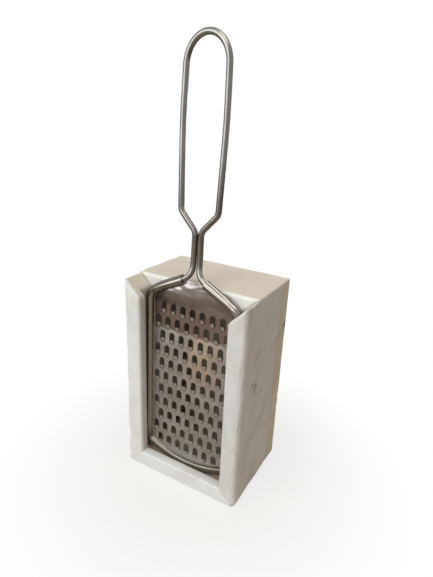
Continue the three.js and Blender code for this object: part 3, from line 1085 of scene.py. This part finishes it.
first_tongue = len(sheet_points)
tooth_depths = []
for x, h in teeth:
    foot, crest = slot_loop(x, h)
    edge = h - opening / 2
    first = len(sheet_points)
    for point in foot:
        aside = slot_half - abs(point.x - x)
        fullness = max(0.0, 1 - ((point.x - x) / slot_half) ** 2) ** fullness_power
        for i in range(tongue_steps + 1):
            share = i / tongue_steps
            rise = tongue_rise * fullness * math.sin(share * math.pi / 2) ** rise_power
            up_tongue = (edge - point.y) * share
            from_side = side_crease_share * aside
            tooth_depths.append(min(1.0, up_tongue / crease_width, from_side / crease_width))
            spot = point.y + up_tongue
            sheet_points.append((point.x, spot, sheet_depth(spot) + setback(spot) - rise))
    rows = tongue_steps + 1
    for k in range(foot_steps):
        for i in range(tongue_steps):
            a = first + k * rows + i
            sheet_faces.append([a, a + rows, a + rows + 1, a + 1])


satin_dark = rgb(0.345, 0.338, 0.330)
satin_pale = rgb(0.425, 0.415, 0.405)
warm_reflection = rgb(0.56, 0.44, 0.345)
brown_reflection = rgb(0.178, 0.128, 0.107)
mauve_dark = rgb(0.138, 0.120, 0.118)
mauve_pale = rgb(0.275, 0.245, 0.232)
tongue_sheen = rgb(0.46, 0.435, 0.40)
crease_shade = rgb(0.10, 0.09, 0.078)
rim_dark = rgb(0.140, 0.129, 0.111)
rim_pale = rgb(0.190, 0.175, 0.152)
upright_rim_highlight = rgb(0.262, 0.242, 0.210)
low_rim_shade = rgb(0.095, 0.086, 0.066)
line_grey = rgb(0.25, 0.23, 0.20)
band_drift = 12.0
fan_foot = (132.0, 138.0)
brown_foot = (115.5, 118.5)
warm_middle = 9.0
warm_sides = (5.0, 19.0)
warm_foot = (74.0, 94.0)
fan_reflection_rise = (134.0, 153.0)
low_end = (20.0, 34.0)
upright_from = (29.0, 32.0)


def sheet_steel():
    """Satin sheet: rolling lines and rubbed patches; painted reflections in a warm patch, a brown band
    across two rows and a glossy mauve fan; a painted sheen on the tongues and painted shade in their
    creases; and the rolled rim painted darker, with painted highlights up its sides and painted shade along
    its bottom.
    """
    material, steel, start = new_material("grating_steel")
    place = start.node("ShaderNodeTexCoord", {}, {}, "Object")
    height = place.node("ShaderNodeSeparateXYZ", {}, {"Vector": place}, "Z")
    across = place.node("ShaderNodeSeparateXYZ", {}, {"Vector": place}, "X")
    drift = (noise(place, 28.0, detail=3.0, roughness=0.55) - 0.5) * (band_drift * MM)
    band = height + drift
    fan = band.within(*fan_foot)
    brown = band.within(*brown_foot) * (1 - fan)
    off_centre = (across - warm_middle * MM + drift).size()
    warm = (1 - off_centre.within(*warm_sides)) * band.within(*warm_foot)
    rubbed = noise(place, 46.0, detail=3.0, roughness=0.6).between(0.35, 0.7)
    rolling = stretched(place, (1.0, 1.0, 0.03))
    lines = noise(rolling, 1400.0, detail=3.0, roughness=0.65).between(0.3, 0.75)
    colour = rubbed.tint(satin_dark, satin_pale)
    # Painted reflections: a warm patch in the middle, a brown band across two upper rows, and above them
    # the mauve fan, lighter towards its top and rippled.
    colour = (warm * 0.6).tint(colour, warm_reflection)
    colour = brown.tint(colour, brown_reflection)
    ripple = noise(stretched(place, (0.55, 1.0, 1.0)), 62.0, detail=2.0, roughness=0.5, warp=0.9)
    fan_reflection = height.within(*fan_reflection_rise) * 0.55 + ripple.between(0.40, 0.62) * 0.45
    colour = fan.tint(colour, fan_reflection.tint(mauve_dark, mauve_pale))
    # Painted sheen and shade: each tongue is tinted lighter towards its middle, and the crease round its
    # foot darker.
    tooth = start.node("ShaderNodeAttribute", {"attribute_name": "tooth"}, {}, "Fac")
    crease = tooth.between(0.0, 0.2) * (1 - tooth.between(0.35, 0.8))
    colour = (tooth.between(0.3, 0.9) * 0.8).tint(colour, tongue_sheen)
    colour = (crease * 0.75).tint(colour, crease_shade)
    # The rolled rim is painted darker than the sheet, a painted dark reflection, with painted highlights up
    # its upright sides and painted shade along its bottom.
    rolled = start.node("ShaderNodeAttribute", {"attribute_name": "rolled"}, {}, "Fac")
    low = 1 - height.within(*low_end)
    upright = across.size().within(*upright_from) * (1 - low)
    rim = upright.tint(rubbed.tint(rim_dark, rim_pale), upright_rim_highlight)
    colour = rolled.tint(colour, low.tint(rim, low_rim_shade))
    steel.inputs["Metallic"].default_value = 1.0
    start.feed(steel.inputs["Base Color"], (lines * 0.16).tint(colour, line_grey))
    plain = 1 - rolled
    satin = (0.13 + rubbed * 0.10 + lines * 0.06 - fan * 0.12) * plain
    start.feed(steel.inputs["Roughness"], 0.11 + satin + rolled * low * 0.13)
    buckle = noise(stretched(place, (0.5, 1.0, 1.0)), 110.0, detail=1.0, roughness=0.4, warp=0.6)
    buckle *= fan * plain
    wave = noise(place, 34.0, detail=2.0, roughness=0.5) * 3.0 + lines * 0.05 + buckle * 14.0
    bump = start.node("ShaderNodeBump", {}, {"Strength": 0.5, "Distance": 0.0002, "Height": wave})
    start.feed(steel.inputs["Normal"], bump)
    return material


placed = [grater_point(*point) for point in sheet_points]
sheet = mesh_piece("grating_steel", placed, sheet_faces, sheet_steel())
shape = bmesh.new()
shape.from_mesh(sheet.data)
rolled = shape.verts.layers.float.new("rolled")
shape.verts.ensure_lookup_table()
# The rolled rim's painted tint fades in over its first columns.
for k in range(len(rim_path) * columns):
    shape.verts[k][rolled] = min(1.0, k % columns / roll_tint_columns)
tooth = shape.verts.layers.float.new("tooth")
shape.verts.ensure_lookup_table()
for k, depth in enumerate(tooth_depths):
    shape.verts[first_tongue + k][tooth] = depth
bmesh.ops.remove_doubles(shape, verts=shape.verts, dist=weld * MM)
bmesh.ops.recalc_face_normals(shape, faces=shape.faces)
for face in shape.faces:
    face.smooth = True
shape.to_mesh(sheet.data)
shape.free()
gauge = sheet.modifiers.new("gauge", "SOLIDIFY")
gauge.thickness = sheet_thickness * MM
gauge.offset = 0.0
crease = sheet.modifiers.new("cut_edges", "EDGE_SPLIT")
crease.split_angle = cut_angle
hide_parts("grating_sheet")
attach(sheet, "grater")

# Studio: a plain pale floor that runs out to white, a broad cool light from the left of the camera,
# a warm one overhead, a low one behind, two strips that draw highlights along the wire, and a dim
# even surround that is seen as white.
floor_reach = 6.0
floor_drop = 0.0003
shadow_white = 0.76
shadow_edge = (0.05, 0.17)
horizon = (1.3, 3.6)
floor_mesh = bpy.data.meshes.new("floor")
floor_plan = [(-1, -1), (1, -1), (1, 1), (-1, 1)]
floor_corners = [(x * floor_reach, y * floor_reach, -floor_drop) for x, y in floor_plan]
floor_mesh.from_pydata(floor_corners, [], [[0, 1, 2, 3]])
floor = bpy.data.objects.new("floor", floor_mesh)
bpy.context.collection.objects.link(floor)


def seen_rays(shade):
    """Rays that the camera sees straight, and those that it sees in metal or through glass."""
    straight = shade.node("ShaderNodeLightPath", {}, {}, "Is Camera Ray")
    paths = straight.socket.node.outputs
    in_metal = Shade(shade.tree, paths["Is Glossy Ray"])
    in_glass = Shade(shade.tree, paths["Is Transmission Ray"])
    return straight, shade.math("MAXIMUM", in_metal, in_glass)


floor_paint, matt, start = new_material("floor_paint")
place = start.node("ShaderNodeTexCoord", {}, {}, "Object")
away = place.node("ShaderNodeVectorMath", {"operation": "LENGTH"}, {"Vector": place}, "Value")
speckle = noise(place, 40.0, detail=2.0)
floor_dark = rgb(0.585, 0.525, 0.450)
floor_pale = rgb(0.625, 0.565, 0.490)
start.feed(matt.inputs["Base Color"], speckle.tint(floor_dark, floor_pale))
matt.inputs["Roughness"].default_value = 0.9
matt.inputs["Specular IOR Level"].default_value = 0.1
white = rgb(1.0, 1.0, 1.0)
glow = start.node("ShaderNodeEmission", {}, {"Color": white, "Strength": 1.0})
straight, bounced = seen_rays(start)
near_white = straight * (shadow_white + away.between(*shadow_edge) * (1 - shadow_white))
far_white = bounced * away.between(*horizon)
fade = start.math("MAXIMUM", near_white, far_white)
mixed = start.node("ShaderNodeMixShader", {}, {0: fade, 2: glow})
start.tree.links.new(matt.outputs[0], mixed.socket.node.inputs[1])
start.tree.links.new(mixed.socket, start.tree.nodes["Material Output"].inputs["Surface"])
floor_mesh.materials.append(floor_paint)

world = bpy.data.worlds.new("surround")
bpy.context.scene.world = world
world.use_nodes = True
air = Shade(world.node_tree)
straight, bounced = seen_rays(air)
seen = air.math("MAXIMUM", straight, bounced)
dim_room = rgb(0.24, 0.215, 0.185)
air.feed(world.node_tree.nodes["Background"].inputs["Color"], seen.tint(dim_room, white))


def softbox(name, place, target, width, height, watts, colour):
    light = bpy.data.lights.new(name, "AREA")
    light.shape = "RECTANGLE"
    light.size = width
    light.size_y = height
    light.energy = watts
    light.color = colour
    lamp = bpy.data.objects.new(name, light)
    lamp.location = place
    lamp.rotation_euler = (Vector(target) - Vector(place)).to_track_quat("-Z", "Y").to_euler()
    bpy.context.collection.objects.link(lamp)


stand_middle = (0.0, 0.0, 0.10)
grater_middle = (0.0, 0.0, 0.15)
softbox(
    "window", (-0.36, -1.05, 0.58), stand_middle,
    width=0.9, height=0.9, watts=7.9, colour=(0.92, 0.98, 1.05),
)
softbox(
    "overhead", (0.24, -0.22, 1.15), stand_middle,
    width=0.6, height=0.6, watts=4.9, colour=(1.0, 0.95, 0.87),
)
softbox(
    "rear", (-0.45, 1.10, 0.18), stand_middle,
    width=0.8, height=0.3, watts=3.0, colour=(1.0, 0.98, 0.95),
)
softbox(
    "strip_left", (-0.80, -0.91, 0.42), grater_middle,
    width=0.16, height=0.6, watts=1.6, colour=(1.0, 1.0, 1.0),
)
softbox(
    "strip_front", (-0.155, -0.916, 0.936), grater_middle,
    width=0.6, height=0.16, watts=1.6, colour=(1.0, 0.98, 0.92),
)

bpy.context.scene.view_settings.view_transform = "Standard"
